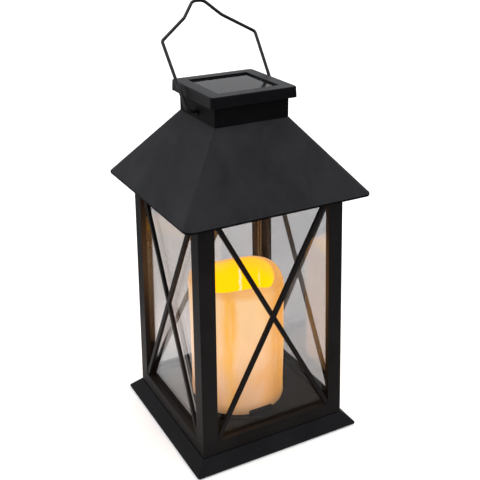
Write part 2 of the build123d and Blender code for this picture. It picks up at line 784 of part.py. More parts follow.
save(ceiling_plate.part, "ceiling_plate")
save(screw_set(ceiling_high, small_screw, 4.8, upper_screw_places, upwards=False), "upper_frame_screws")
save(screw_set(ceiling_low, case_screw, 12.0, square_of(roof_boss)), "roof_screws")

# ================================================================ roof
pivot_boss_radius, pivot_boss_height = 3.2, 0.6
pivot_clearance = 0.08
cap_screw_place = 24.4
slope_low = eave_low + eave_lip
inner_eave = eave_width - 2 * roof_wall_run
inner_neck = neck_width - 2 * wall
inner_top_z = slope_low + (inner_eave - inner_neck) / 2 * roof_slope
inner_corner = eave_corner - wall
neck_corner, inner_neck_corner = 1.2, 0.8
neck_step = 0.2  # the slopes' foot stands this far out round the neck
boss_outside = roof_boss + boss_radius  # level distance to a screw boss's far side
roof_boss_top = roof_top - (boss_outside - neck_width / 2) * roof_slope - 1.0
roof_pilot_depth = 13.0
deck_hole = 3.0

with BuildPart() as roof_shell:
    with BuildSketch(Plane.XY.offset(eave_low)):
        RectangleRounded(eave_width, eave_width, eave_corner)
    extrude(amount=eave_lip)
    with BuildSketch(Plane.XY.offset(slope_low)):
        RectangleRounded(eave_width, eave_width, eave_corner)
    with BuildSketch(Plane.XY.offset(roof_top)):
        RectangleRounded(neck_width + 2 * neck_step, neck_width + 2 * neck_step, hip_radius)
    loft()
    with BuildSketch(Plane.XY.offset(roof_top)):
        RectangleRounded(neck_width, neck_width, neck_corner)
    extrude(amount=neck_top - roof_top)
    # hollow: under the eaves, under the slopes, then the neck up to its deck
    with BuildSketch(Plane.XY.offset(eave_low)):
        RectangleRounded(inner_eave, inner_eave, inner_corner)
    extrude(amount=eave_lip, mode=Mode.SUBTRACT)
    with BuildSketch(Plane.XY.offset(slope_low)):
        RectangleRounded(inner_eave, inner_eave, inner_corner)
    with BuildSketch(Plane.XY.offset(inner_top_z)):
        RectangleRounded(inner_neck, inner_neck, inner_neck_corner)
    loft(mode=Mode.SUBTRACT)
    with BuildSketch(Plane.XY.offset(inner_top_z)):
        RectangleRounded(inner_neck, inner_neck, inner_neck_corner)
    extrude(amount=neck_top - wall - inner_top_z, mode=Mode.SUBTRACT)
    # screw bosses down to the ceiling plate
    with BuildSketch(Plane.XY.offset(ceiling_high)):
        with GridLocations(2 * roof_boss, 2 * roof_boss, 2, 2):
            Circle(boss_radius)
    extrude(amount=roof_boss_top - ceiling_high)
    with BuildSketch(Plane.XY.offset(ceiling_high)):
        with GridLocations(2 * roof_boss, 2 * roof_boss, 2, 2):
            Circle(case_screw[0] + pilot_gap)
    extrude(amount=roof_pilot_depth, mode=Mode.SUBTRACT)
    # deck holes for the leads and the cap's screws
    with BuildSketch(Plane.XY.offset(neck_top)):
        Circle(deck_hole)
        with GridLocations(2 * cap_screw_place, 2 * cap_screw_place, 2, 2):
            Circle(small_screw[0] + pilot_gap)
    extrude(amount=-wall, mode=Mode.SUBTRACT)
    # a pierced boss on each side of the neck for the bail
    for side in (-1, 1):
        with BuildSketch(Plane.YZ.offset(side * (neck_width / 2 - wall))):
            with Locations((0, pivot_height)):
                Circle(pivot_boss_radius)
        extrude(amount=side * (wall + pivot_boss_height))
        with BuildSketch(Plane.YZ.offset(side * (neck_width / 2 - wall))):
            with Locations((0, pivot_height)):
                Circle(bail_radius + pivot_clearance)
        extrude(amount=side * (wall + pivot_boss_height), mode=Mode.SUBTRACT)
save(roof_shell.part, "roof_shell")

# ================================================================ cap and solar panel
cap_draft = 0.8  # how much narrower the cap is at its top
cap_corner, cap_inner_corner = 3.0, 1.2
cap_edge = 0.8
cap_plate = 2.8
cap_boss_radius, cap_pilot_depth = 2.2, 3.8
panel_gap = 0.1  # round the panel in its pocket
panel_size = panel_window - 2 * panel_gap
panel_depth = 1.2  # from the cap's top down to the resin's face
tray_floor = 1.4
tray_side = 1.7
underside = cap_top - cap_plate
board_step, cell_step = 0.8, 0.4
cell_size = 45.6

with BuildPart() as solar_cap:
    with BuildSketch(Plane.XY.offset(neck_top)):
        RectangleRounded(cap_width, cap_width, cap_corner)
    with BuildSketch(Plane.XY.offset(cap_top)):
        RectangleRounded(cap_width - cap_draft, cap_width - cap_draft, cap_corner)
    loft()
    fillet(solar_cap.edges().group_by(Axis.Z)[-1], cap_edge)
    with BuildSketch(Plane.XY.offset(neck_top)):
        RectangleRounded(cap_width - 2 * wall, cap_width - 2 * wall, cap_inner_corner)
    extrude(amount=underside - neck_top, mode=Mode.SUBTRACT)
    # the panel's tray and the screw bosses hang under the top
    with BuildSketch(Plane.XY.offset(pocket_floor - tray_floor)):
        Rectangle(panel_window + 2 * tray_side, panel_window + 2 * tray_side)
    extrude(amount=underside - pocket_floor + tray_floor)
    with BuildSketch(Plane.XY.offset(neck_top)):
        with GridLocations(2 * cap_screw_place, 2 * cap_screw_place, 2, 2):
            Circle(cap_boss_radius)
    extrude(amount=underside - neck_top)
    with BuildSketch(Plane.XY.offset(neck_top)):
        with GridLocations(2 * cap_screw_place, 2 * cap_screw_place, 2, 2):
            Circle(small_screw[0] + pilot_gap)
    extrude(amount=cap_pilot_depth, mode=Mode.SUBTRACT)
    # panel pocket and lead hole
    with BuildSketch(Plane.XY.offset(cap_top)):
        Rectangle(panel_window, panel_window)
    extrude(amount=-pocket_depth, mode=Mode.SUBTRACT)
    with BuildSketch(Plane.XY.offset(pocket_floor)):
        Circle(lead_hole)
    extrude(amount=-tray_floor, mode=Mode.SUBTRACT)
save(solar_cap.part, "solar_cap")
save(screw_set(neck_top - wall, small_screw, 5.5, square_of(cap_screw_place)), "cap_screws")

with BuildPart() as panel_board:
    with BuildSketch(Plane.XY.offset(pocket_floor)):
        Rectangle(panel_size, panel_size)
    extrude(amount=board_step)
save(panel_board.part, "panel_board")

with BuildPart() as solar_cell:
    with BuildSketch(Plane.XY.offset(pocket_floor + board_step)):
        Rectangle(cell_size, cell_size)
    extrude(amount=cell_step)
save(solar_cell.part, "solar_cell")

with BuildPart() as panel_resin:
    with BuildSketch(Plane.XY.offset(pocket_floor + board_step)):
        Rectangle(panel_size, panel_size)
    extrude(amount=pocket_depth - board_step - panel_depth)
    with BuildSketch(Plane.XY.offset(pocket_floor + board_step)):
        Rectangle(cell_size, cell_size)
    extrude(amount=cell_step, mode=Mode.SUBTRACT)
save(panel_resin.part, "panel_resin")

# ================================================================ wire bail
bail_end = neck_width / 2 - wall - 2.2  # the wire's ends stop this far out, inside the neck
leg_foot, leg_shoulder = 35.8, 37.4  # half widths of the legs at the pivot and at the shoulder
shoulder_rise, waist_rise, crown_rise = 56.0, 72.4, 85.4
waist_half, crown_half = 15.0, 4.3
half_outline = [
    (bail_end, 0),
    (leg_foot, 0),
    (leg_shoulder, shoulder_rise),
    (waist_half, waist_rise),
    (crown_half, crown_rise),
]
half_radii = [4.4, 3.2, 12.0, 6.0]
lean = radians(bail_tilt)


def bail_point(x, rise):
    """A point of the bail's flat outline, leaned back about its pivots."""
    return (x, rise * sin(lean), pivot_height + rise * cos(lean))


bail_points = [bail_point(-x, h) for x, h in half_outline]
bail_points += [bail_point(x, h) for x, h in reversed(half_outline)]
bail = wire(bail_points, half_radii + half_radii[::-1], bail_radius)
save(bail, "bail_handle")
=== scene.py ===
"""Looks for the solar lantern: finer meshes and procedural materials on the CAD frame, a studio
floor, soft light and the camera. Metres, +Z up, the lantern's front faces -Y."""

from math import cos, pi, radians, sin

import bmesh
import bpy
from mathutils import Matrix, Vector, noise


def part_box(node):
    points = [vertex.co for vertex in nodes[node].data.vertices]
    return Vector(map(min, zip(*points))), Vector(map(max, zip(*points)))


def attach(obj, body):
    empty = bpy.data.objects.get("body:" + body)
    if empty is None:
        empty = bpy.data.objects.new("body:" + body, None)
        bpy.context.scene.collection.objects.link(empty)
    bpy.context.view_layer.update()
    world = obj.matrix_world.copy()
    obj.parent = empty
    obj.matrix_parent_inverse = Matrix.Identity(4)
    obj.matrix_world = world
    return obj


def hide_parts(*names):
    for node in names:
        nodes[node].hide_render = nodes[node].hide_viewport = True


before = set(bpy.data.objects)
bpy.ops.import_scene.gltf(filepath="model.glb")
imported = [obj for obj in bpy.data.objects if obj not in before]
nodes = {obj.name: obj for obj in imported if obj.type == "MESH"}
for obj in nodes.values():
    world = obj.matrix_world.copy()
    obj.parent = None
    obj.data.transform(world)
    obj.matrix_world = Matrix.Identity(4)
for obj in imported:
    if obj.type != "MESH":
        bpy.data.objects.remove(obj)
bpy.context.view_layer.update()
scene = bpy.context.scene
scene.view_settings.view_transform = "Standard"

BODY = "lantern"
WHITE = (1.0, 1.0, 1.0)


# ---------------------------------------------------------------- node helpers
class Shader:
    """A short way to write a procedural material's node tree."""

    def __init__(self, name):
        self.material = bpy.data.materials.new(name)
        self.material.use_nodes = True
        self.tree = self.material.node_tree
        self.surface = self.tree.nodes["Principled BSDF"]
        self.output = self.tree.nodes["Material Output"]
        self.position = self.add("ShaderNodeNewGeometry").outputs["Position"]

    def add(self, kind, **settings):
        node = self.tree.nodes.new(kind)
        for key, value in settings.items():
            setattr(node, key, value)
        return node

    def link(self, source, target):
        if isinstance(source, bpy.types.NodeSocket):
            self.tree.links.new(source, target)
        else:
            target.default_value = source

    def wire(self, **sources):
        """Links node outputs to the surface's sockets; underscores stand for spaces in their names."""
        for key, source in sources.items():
            self.link(source, self.surface.inputs[key.replace("_", " ")])

    def set(self, **values):
        """Sets the surface's plain sockets."""
        for key, value in values.items():
            self.surface.inputs[key.replace("_", " ")].default_value = value

    # ---- textures and places
    def stretched(self, scale):
        """The position in metres, multiplied by a scale for each axis."""
        mapping = self.add("ShaderNodeMapping")
        mapping.inputs["Scale"].default_value = scale
        self.link(self.position, mapping.inputs["Vector"])
        return mapping.outputs["Vector"]

    def noise(self, scale, detail=3.0, roughness=0.5, vector=None, distortion=0.0):
        node = self.add("ShaderNodeTexNoise")
        node.inputs["Scale"].default_value = scale
        node.inputs["Detail"].default_value = detail
        node.inputs["Roughness"].default_value = roughness
        node.inputs["Distortion"].default_value = distortion
        self.link(self.position if vector is None else vector, node.inputs["Vector"])
        return node.outputs["Fac"]

    def cells(self, scale):
        """The distance from the nearest of many scattered points."""
        node = self.add("ShaderNodeTexVoronoi")
        node.inputs["Scale"].default_value = scale
        self.link(self.position, node.inputs["Vector"])
        return node.outputs["Distance"]

    def axis(self, which):
        node = self.add("ShaderNodeSeparateXYZ")
        self.link(self.position, node.inputs[0])
        return node.outputs["XYZ".index(which)]

    def radius(self, x, y):
        """The distance from the lantern's axis."""
        return self.math("SQRT", self.plus(self.times(x, x), self.times(y, y)))

    # ---- sums
    def math(self, operation, a, b=0.0):
        node = self.add("ShaderNodeMath", operation=operation)
        self.link(a, node.inputs[0])
        self.link(b, node.inputs[1])
        return node.outputs[0]

    def plus(self, a, b):
        return self.math("ADD", a, b)

    def minus(self, a, b):
        return self.math("SUBTRACT", a, b)

    def times(self, a, b):
        return self.math("MULTIPLY", a, b)

    def size(self, a):
        return self.math("ABSOLUTE", a)

    def range(self, value, low, high, to_low=0.0, to_high=1.0, smooth=False):
        node = self.add("ShaderNodeMapRange")
        if smooth:
            node.interpolation_type = "SMOOTHSTEP"
        self.link(value, node.inputs["Value"])
        bounds = (("From Min", low), ("From Max", high), ("To Min", to_low), ("To Max", to_high))
        for key, number in bounds:
            self.link(number, node.inputs[key])
        return node.outputs["Result"]

    # ---- colours and shaders
    def mix(self, factor, a, b):
        node = self.add("ShaderNodeMix", data_type="RGBA")
        self.link(factor, node.inputs["Factor"])
        for colour, socket in ((a, node.inputs["A"]), (b, node.inputs["B"])):
            plain = not isinstance(colour, bpy.types.NodeSocket)
            self.link((*colour, 1.0) if plain else colour, socket)
        return node.outputs["Result"]

    def bump(self, height, strength, distance, normal=None):
        node = self.add("ShaderNodeBump")
        node.inputs["Strength"].default_value = strength
        node.inputs["Distance"].default_value = distance
        self.link(height, node.inputs["Height"])
        if normal is not None:
            self.link(normal, node.inputs["Normal"])
        return node.outputs["Normal"]

    def thin_fresnel(self, ior):
        """The share that a thin clear sheet mirrors, the same on the way in and on the way out."""
        backfacing = self.add("ShaderNodeNewGeometry").outputs["Backfacing"]
        node = self.add("ShaderNodeFresnel")
        self.link(self.range(backfacing, 0.0, 1.0, ior, 1.0 / ior), node.inputs["IOR"])
        return node.outputs[0]

    def see_through(self, colour=WHITE):
        node = self.add("ShaderNodeBsdfTransparent")
        socket = node.inputs["Color"]
        self.link(colour if isinstance(colour, bpy.types.NodeSocket) else (*colour, 1.0), socket)
        return node.outputs[0]

    def mirror(self, grey, roughness, normal):
        node = self.add("ShaderNodeBsdfAnisotropic")
        node.inputs["Color"].default_value = (grey, grey, grey, 1.0)
        self.link(roughness, node.inputs["Roughness"])
        self.link(normal, node.inputs["Normal"])
        return node.outputs[0]

    def dust(self, grey):
        node = self.add("ShaderNodeBsdfDiffuse")
        node.inputs["Color"].default_value = (grey, grey, grey, 1.0)
        return node.outputs[0]

    def layer(self, share, under, over):
        """Two shaders mixed; share is how much of the second shows."""
        node = self.add("ShaderNodeMixShader")
        self.link(share, node.inputs["Fac"])
        self.link(under, node.inputs[1])
        self.link(over, node.inputs[2])
        return node.outputs[0]

    def show(self, shader):
        """Shows a shader instead of the bare surface."""
        self.link(shader, self.output.inputs["Surface"])


# ---------------------------------------------------------------- materials
def scaled(colour, factor, lift=0.0):
    return tuple(channel * factor + lift for channel in colour)


def moulded_plastic(name, dark, light, roughness, specular, wear=0.0, lit_top_and_dust=None):
    """Black moulded plastic: fine spark-eroded grain, faint flow marks and a little dust.

    wear is the share of light handling marks. The last argument is the colour given to the faces
    that look up: painted light from above, mottled with streaks that read as dust and handling."""
    s = Shader(name)
    cloud = s.noise(scale=26.0, detail=4.0, roughness=0.6)
    flow = s.noise(scale=9.0, detail=2.0, vector=s.stretched((1.0, 1.0, 0.35)))
    colour = s.mix(s.range(cloud, 0.3, 0.7), dark, light)
    # painted light: faces that look up get a far lighter colour, as if lit from above, mottled with
    # dust-like streaks
    if lit_top_and_dust:
        dust_and_light_drift_share = 0.65  # the rest is wiped streaks down the slope
        dust_and_light_drift = s.noise(scale=13.0, detail=6.0, roughness=0.68, distortion=0.5)
        downhill = s.stretched((0.7, 0.7, 0.12))
        wiped = s.noise(scale=75.0, detail=4.0, roughness=0.65, vector=downhill, distortion=0.3)
        dust_and_light_drift = s.plus(s.times(dust_and_light_drift, dust_and_light_drift_share), s.times(wiped, 1.0 - dust_and_light_drift_share))
        lit_top_film = s.mix(s.range(dust_and_light_drift, 0.38, 0.62), scaled(lit_top_and_dust, 0.72), scaled(lit_top_and_dust, 1.24))
        facing = s.add("ShaderNodeSeparateXYZ")
        s.link(s.add("ShaderNodeNewGeometry").outputs["Normal"], facing.inputs[0])
        lit_top_mask = s.range(facing.outputs["Z"], 0.25, 0.6, smooth=True)
        colour = s.mix(lit_top_mask, colour, lit_top_film)
    specks = s.noise(scale=420.0, detail=2.0, roughness=0.8)
    colour = s.mix(s.range(specks, 0.66, 0.8, 0.0, 0.35), colour, scaled(light, 2.6, 0.004))
    if wear:
        scuffs = s.noise(scale=90.0, detail=6.0, roughness=0.75, vector=s.stretched((1.0, 1.0, 0.2)))
        colour = s.mix(s.range(scuffs, 0.62, 0.72, 0.0, wear), colour, scaled(light, 3.0, 0.01))
    broad_gloss = s.range(flow, 0.3, 0.7, roughness - 0.05, roughness + 0.07)
    patchy_gloss = s.range(cloud, 0.35, 0.65, -0.02, 0.03)
    sag = s.bump(s.noise(scale=34.0, detail=2.0, roughness=0.4), strength=0.18, distance=0.0012)
    grain = s.noise(scale=2600.0, detail=2.0, roughness=0.6)
    normal = s.bump(grain, strength=0.35, distance=0.00012, normal=sag)
    s.wire(Base_Color=colour, Roughness=s.plus(broad_gloss, patchy_gloss), Normal=normal)
    s.set(Specular_IOR_Level=specular)
    return s.material


def coated_wire():
    """Steel wire with a satin black coating, thinner where it rubs."""
    s = Shader("coated_wire")
    coat_dark, coat_light, rubbed = (0.004, 0.004, 0.0045), (0.01, 0.01, 0.0105), (0.036, 0.03, 0.026)
    blotch = s.noise(scale=160.0, detail=4.0, roughness=0.65)
    colour = s.mix(s.range(blotch, 0.35, 0.7), coat_dark, coat_light)
    rub = s.noise(scale=330.0, detail=5.0, roughness=0.7)
    colour = s.mix(s.range(rub, 0.66, 0.74, 0.0, 0.5), colour, rubbed)
    runs = s.noise(scale=900.0, detail=3.0, roughness=0.6)
    s.wire(Base_Color=colour, Roughness=s.range(blotch, 0.3, 0.7, 0.32, 0.46))
    s.wire(Normal=s.bump(runs, strength=0.3, distance=0.00015))
    s.set(Specular_IOR_Level=0.5, Coat_Weight=0.25, Coat_Roughness=0.3)
    return s.material


def clear_pane(tint):
    """Clear plastic sheet: a grey tint at each face, a mirror gloss, faint smears and specks."""
    s = Shader("clear_pane")
    ior = 1.64
    upright = s.stretched((1.0, 1.0, 0.4))
    smear = s.noise(scale=22.0, detail=5.0, roughness=0.7, vector=upright, distortion=0.6)
    through = s.see_through(s.mix(s.range(smear, 0.35, 0.75), tint, scaled(tint, 0.99)))
    unevenness = s.bump(s.noise(scale=14.0, detail=1.0, roughness=0.4), strength=0.01, distance=0.0005)
    gloss = s.mirror(1.0, s.range(smear, 0.4, 0.8, 0.008, 0.018), unevenness)
    clear = s.layer(s.thin_fresnel(ior), through, gloss)
    specks = s.range(s.noise(scale=700.0, detail=2.0, roughness=0.7), 0.7, 0.8, 0.0, 0.05)
    haze = s.range(smear, 0.5, 0.9, 0.0, 0.01)
    s.show(s.layer(s.plus(haze, specks), clear, s.dust(0.8)))
    s.tree.nodes.remove(s.surface)
    return s.material


def wax_wall(s, low, high, blotch, streak, foot, shoulder_shade):
    """The colour of the candle's wall: pale wax, an amber band, a painted shaded edge on one side,
    streaks, marbling, foot and a painted shade on the rounded shoulder.
    """
    pale_low, pale_high, amber = (1.0, 0.53, 0.3), (1.0, 0.63, 0.33), (1.0, 0.45, 0.03)
    shaded_edge_colour, vein_colour, foot_colour = (0.84, 0.33, 0.04), (1.0, 0.68, 0.38), (1.0, 0.53, 0.25)
    marble_dark, marble_light, shoulder_shade_colour = (0.97, 0.44, 0.13), (1.0, 0.64, 0.42), (1.0, 0.47, 0.13)
    band_place, band_reach = -0.0052, 0.0078  # of the amber band, across the wall
    band_turn = radians(-27.8)  # the direction in plan that the wall is measured across
    x, y, z = (s.axis(a) for a in "XYZ")
    across = s.plus(s.times(x, cos(band_turn)), s.times(y, sin(band_turn)))
    side = s.plus(across, s.times(s.minus(blotch, 0.5), 0.012))
    band = s.range(s.size(s.minus(side, band_place)), band_reach, 0.0012, smooth=True)
    wall = s.mix(s.range(z, low + 0.02, high - 0.03), pale_low, pale_high)
    wall = s.mix(s.times(band, s.range(z, low + 0.02, high - 0.02, 0.55, 0.92)), wall, amber)
    # painted shading: towards one side edge the wall turns a darker, deeper orange, as lit wax looks at
    # its edge
    wall = s.mix(s.range(side, 0.017, 0.035, smooth=True), wall, shaded_edge_colour)
    wall = s.mix(s.range(streak, 0.52, 0.72, 0.0, 0.4, smooth=True), wall, amber)
    vein = s.noise(scale=240.0, detail=3.0, roughness=0.6, vector=s.stretched((1.0, 1.0, 0.1)))
    wall = s.mix(s.range(vein, 0.45, 0.75, 0.0, 0.4), wall, vein_colour)
    upright = s.stretched((1.0, 1.0, 0.75))
    marble = s.noise(scale=42.0, detail=5.0, roughness=0.62, vector=upright, distortion=0.5)
    cloudy = s.range(z, high - 0.02, low + 0.03, 0.25, 1.0)
    darker = s.times(s.range(marble, 0.5, 0.64, 0.0, 0.6, smooth=True), cloudy)
    paler = s.times(s.range(marble, 0.47, 0.37, 0.0, 0.35, smooth=True), cloudy)
    wall = s.mix(paler, s.mix(darker, wall, marble_dark), marble_light)
    wall = s.mix(s.times(foot, 0.8), wall, foot_colour)
    # painted shade: the rounded shoulder near the top turns a darker orange
    return s.mix(s.times(shoulder_shade, 0.75), wall, shoulder_shade_colour)


def wax_bowl(s, high, blotch):
    """The colour of the bright well in the candle's top, with two pale upright drips."""
    deep_colour, top_colour = (1.0, 0.5, 0.0), (1.0, 0.43, 0.02)
    blotch_colour, drip_colour = (1.0, 0.46, 0.003), (1.0, 0.6, 0.35)
    x, y, z = (s.axis(a) for a in "XYZ")
    height = s.range(z, high - 0.03, high - 0.002)
    bowl = s.mix(s.range(height, 0.6, 1.0, smooth=True), deep_colour, top_colour)
    bowl = s.mix(s.range(blotch, 0.5, 0.7, 0.0, 0.35), bowl, blotch_colour)
    for angle, width, amount in ((radians(56), 0.0013, 0.85), (radians(21), 0.0008, 0.4)):
        offset = s.minus(s.times(x, sin(angle)), s.times(y, cos(angle)))
        bend = s.noise(scale=120.0, detail=2.0, roughness=0.6)
        offset = s.size(s.plus(offset, s.times(s.minus(bend, 0.5), 0.005)))
        line = s.range(offset, width, width * 0.35, 0.0, amount, smooth=True)
        drip = s.times(line, s.range(z, high - 0.008, high - 0.013))
        bowl = s.mix(drip, bowl, drip_colour)
    return bowl


def candle_wax(low, high):
    """Waxy plastic lit from inside, between the candle's lowest and highest points."""
    s = Shader("candle_wax")
    shell_dark, shell_light, bowl_shell = (0.38, 0.23, 0.07), (0.46, 0.29, 0.1), (0.1, 0.06, 0.0)
    crest_radius, well_strength = 0.0304, 2.45
    x, y, z = (s.axis(a) for a in "XYZ")
    radius = s.radius(x, y)
    streak = s.noise(scale=48.0, detail=3.0, roughness=0.55, vector=s.stretched((1.0, 1.0, 0.25)))
    blotch = s.noise(scale=30.0, detail=4.0, roughness=0.6)
    foot = s.range(z, low + 0.012, low, smooth=True)
    # painted shade on the rounded shoulder below the rim: its colour darkens and its glow dims a little
    shoulder_shade = s.range(z, high - 0.0075, high - 0.002, smooth=True)
    well = s.range(radius, 0.0312, 0.0284, smooth=True)
    wall = wax_wall(s, low, high, blotch, streak, foot, shoulder_shade)
    light = s.mix(well, wall, wax_bowl(s, high, blotch))
    glow = s.range(z, low, low + 0.055, 0.9, 1.54)
    glow = s.times(glow, s.range(streak, 0.3, 0.7, 0.92, 1.06))
    glow = s.times(glow, s.range(shoulder_shade, 0.0, 1.0, 1.0, 0.95))
    glow = s.times(glow, s.range(foot, 0.0, 1.0, 1.0, 0.45))
    strength = s.plus(s.times(glow, s.minus(1.0, well)), s.times(well, well_strength))
    # painted shade: a thin ring of dimmer glow at the crest, where the rim turns into the well
    crease_shade = s.range(s.size(s.minus(radius, crest_radius)), 0.0014, 0.0003, 0.0, 0.1, smooth=True)
    strength = s.times(strength, s.minus(1.0, crease_shade))
    shell = s.mix(s.range(blotch, 0.3, 0.7), shell_dark, shell_light)
    dimples = s.noise(scale=90.0, detail=3.0)
    s.wire(Base_Color=s.mix(well, shell, bowl_shell), Roughness=s.range(blotch, 0.3, 0.7, 0.42, 0.56))
    s.wire(Emission_Color=light, Emission_Strength=strength)
    s.wire(Normal=s.bump(dimples, strength=0.25, distance=0.0008))
    s.set(Specular_IOR_Level=0.2)
    return s.material


def solar_silicon(width):
    """Dark blue-grey silicon with wide conductors and fine fingers across them."""
    s = Shader("solar_silicon")
    silicon_dark, silicon_light = (0.012, 0.014, 0.022), (0.022, 0.025, 0.036)
    finger_pitch, finger_width, finger_colour = width / 16, 0.00012, (0.16, 0.16, 0.17)
    bar_pitch, bar_width, bar_colour = width / 3, 0.0011, (0.12, 0.12, 0.13)
    crystal = s.cells(160.0)
    colour = s.mix(s.range(crystal, 0.0, 0.9), silicon_dark, silicon_light)

    def lines(place, pitch, line_width):
        """Evenly spaced lines; the place is kept above zero by a metre."""
        part = s.math("FRACT", s.math("DIVIDE", place, pitch))
        return s.math("LESS_THAN", s.size(s.minus(part, 0.5)), line_width / pitch / 2)

    fingers = lines(s.plus(s.axis("Y"), 1.0), finger_pitch, finger_width)
    bars = lines(s.plus(s.axis("X"), 1.0 + bar_pitch / 2), bar_pitch, bar_width)
    colour = s.mix(s.times(fingers, 0.35), colour, finger_colour)
    colour = s.mix(s.times(bars, 0.3), colour, bar_colour)
    s.wire(Base_Color=colour, Roughness=s.range(crystal, 0.0, 1.0, 0.25, 0.4))
    return s.material


def clear_resin():
    """Cast clear resin over the panel: a mirror gloss, faintly uneven, with dust on it."""
    s = Shader("clear_resin")
    ior, tint = 1.29, (0.7, 0.7, 0.73)
    cloud = s.noise(scale=60.0, detail=3.0, roughness=0.6)
    unevenness = s.bump(s.noise(scale=45.0, detail=2.0), strength=0.08, distance=0.0004)
    gloss = s.mirror(0.8, s.range(cloud, 0.3, 0.8, 0.03, 0.09), unevenness)
    clear = s.layer(s.thin_fresnel(ior), s.see_through(tint), gloss)
    specks = s.range(s.noise(scale=500.0, detail=3.0, roughness=0.75), 0.6, 0.8, 0.01, 0.1)
    s.show(s.layer(specks, clear, s.dust(0.5)))
    s.tree.nodes.remove(s.surface)
    return s.material


def worn_metal(name, dark, light, roughness):
    """Plated steel: brushed lines, stains and small scratches."""
    s = Shader(name)
    stain = s.noise(scale=300.0, detail=4.0, roughness=0.6)
    brush = s.noise(scale=1500.0, detail=2.0, vector=s.stretched((1.0, 0.1, 1.0)))
    s.wire(Base_Color=s.mix(s.range(stain, 0.35, 0.7), light, dark))
    s.wire(Roughness=s.range(brush, 0.3, 0.7, roughness - 0.08, roughness + 0.1))
    s.wire(Normal=s.bump(brush, strength=0.3, distance=0.00008))
    s.set(Metallic=1.0)
    return s.material


def soft_finish(name, dark, light, roughness, scale=220.0, bump=0.25):
    """A plain moulded, printed or rubber finish with mottled colour and a fine grain."""
    s = Shader(name)
    cloud = s.noise(scale, detail=4.0, roughness=0.6)
    grain = s.noise(scale * 9, detail=2.0, roughness=0.6)
    s.wire(Base_Color=s.mix(s.range(cloud, 0.3, 0.7), dark, light))
    s.wire(Roughness=s.range(cloud, 0.3, 0.7, roughness - 0.06, roughness + 0.08))
    s.wire(Normal=s.bump(grain, strength=bump, distance=0.0001))
    return s.material


def lamp_lens():
    """The lamp's clear dome, alight."""
    s = Shader("lamp_lens")
    heat = s.noise(scale=500.0, detail=2.0)
    s.wire(Emission_Color=s.mix(heat, (1.0, 0.62, 0.12), (1.0, 0.8, 0.3)))
    s.wire(Base_Color=s.mix(heat, (0.9, 0.7, 0.3), (1.0, 0.85, 0.5)))
    s.set(Emission_Strength=4.0, Roughness=0.15)
    return s.material


# ---------------------------------------------------------------- piece helpers
def finish_node(name, material):
    """Gives a carried-over CAD node its material."""
    mesh = nodes[name].data
    mesh.materials.clear()
    mesh.materials.append(material)


def new_object(name, mesh, material, replaced, body=BODY):
    """A new piece that rides a body in place of a CAD node."""
    piece = bpy.data.objects.new(name, mesh)
    scene.collection.objects.link(piece)
    mesh.materials.clear()
    mesh.materials.append(material)
    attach(piece, body)
    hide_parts(replaced)
    return piece


def apply_modifiers(piece):
    graph = bpy.context.evaluated_depsgraph_get()
    mesh = bpy.data.meshes.new_from_object(piece.evaluated_get(graph))
    old = piece.data
    piece.modifiers.clear()
    piece.data = mesh
    bpy.data.meshes.remove(old)


def softened(name, width, material, segments=2, body=BODY):
    """The CAD node's own shape with its hard edges rounded by width, as a mould leaves them.

    Its triangles are kept as they are, because faces joined into one round a hole fill badly."""
    mesh = nodes[name].data.copy()
    mesh.name = name + "_moulded"
    work = bmesh.new()
    work.from_mesh(mesh)
    bmesh.ops.remove_doubles(work, verts=work.verts, dist=1e-6)
    work.to_mesh(mesh)
    work.free()
    piece = new_object(name + "_moulded", mesh, material, name, body)
    bevel = piece.modifiers.new("edges", "BEVEL")
    bevel.width = width
    bevel.segments = segments
    bevel.limit_method = "ANGLE"
    bevel.angle_limit = radians(32)
    bevel.use_clamp_overlap = True
    bevel.miter_outer = "MITER_ARC"
    bevel.harden_normals = False
    weighted = piece.modifiers.new("normals", "WEIGHTED_NORMAL")
    weighted.keep_sharp = False
    for polygon in mesh.polygons:
        polygon.use_smooth = True
    apply_modifiers(piece)
    return piece


# ---------------------------------------------------------------- candle
# The melted rim's height above or below its mean, in millimetres, every 30 degrees.
RIM_HEIGHTS = (0.5, -2.6, 0.4, 1.0, -3.8, -2.2, 2.0, 1.8, -1.6, -2.6, 2.0, 3.4)


def rim_lift(angle):
    """The rim's height at an angle, in metres: a smooth closed curve through RIM_HEIGHTS."""
    count = len(RIM_HEIGHTS)
    turned = 0.07  # of a step
    place = (angle / (2 * pi) * count - count / 2 - turned) % count
    step = int(place)
    part = place - step
    a, b, c, d = (RIM_HEIGHTS[(step + i) % count] for i in (-1, 0, 1, 2))
    bend = 2 * a - 5 * b + 4 * c - d
    twist = 3 * (b - c) + d - a
    return 0.001 * (b + 0.5 * part * (c - a + part * (bend + part * twist)))


